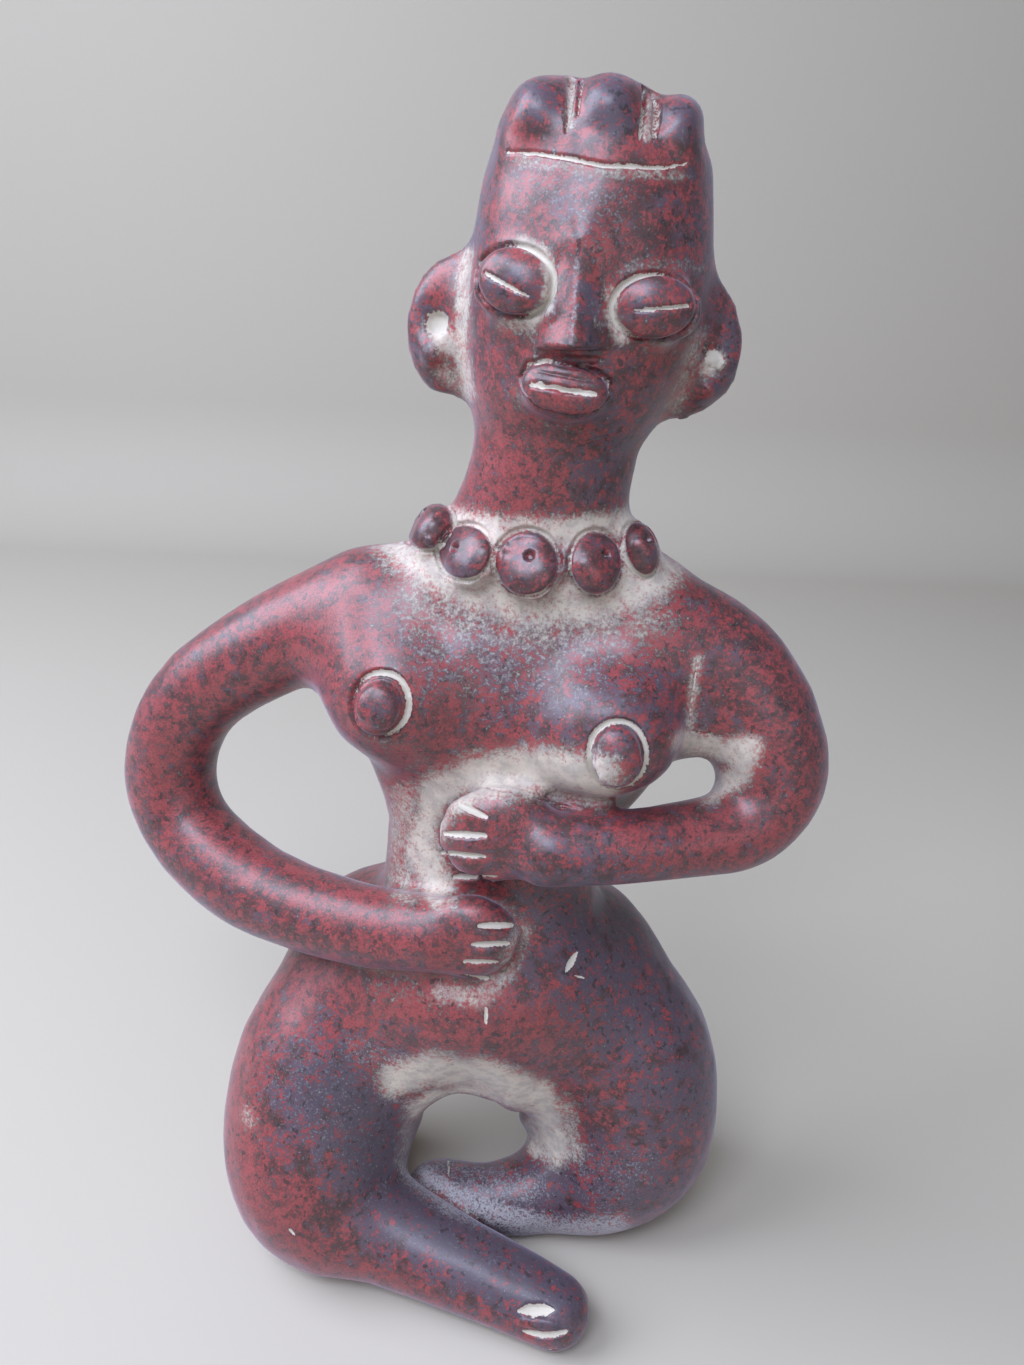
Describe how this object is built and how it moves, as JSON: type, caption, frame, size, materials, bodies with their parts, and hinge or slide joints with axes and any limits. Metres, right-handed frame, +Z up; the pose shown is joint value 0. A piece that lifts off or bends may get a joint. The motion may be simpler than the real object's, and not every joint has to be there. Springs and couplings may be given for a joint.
{
  "type": "terracotta figurine",
  "caption": "Burnished fired-clay figurine of a seated woman with folded legs, hands on her belly, coffee-bean eyes, a lobed head-dress and a necklace of pierced pellets.",
  "frame": {"origin": "on the ground under the middle of the figure's overall width and depth", "axes": "+Z up, the figure faces -Y, its own left arm is on +X"},
  "size_m": [0.1832, 0.092, 0.2998],
  "materials": {
    "burnished_clay": "burnished brick-red slip mottled with dark grey-brown, with cream wash left in the hollows"
  },
  "bodies": {
    "root": {"figurine": "burnished_clay"}
  },
  "joints": []
}
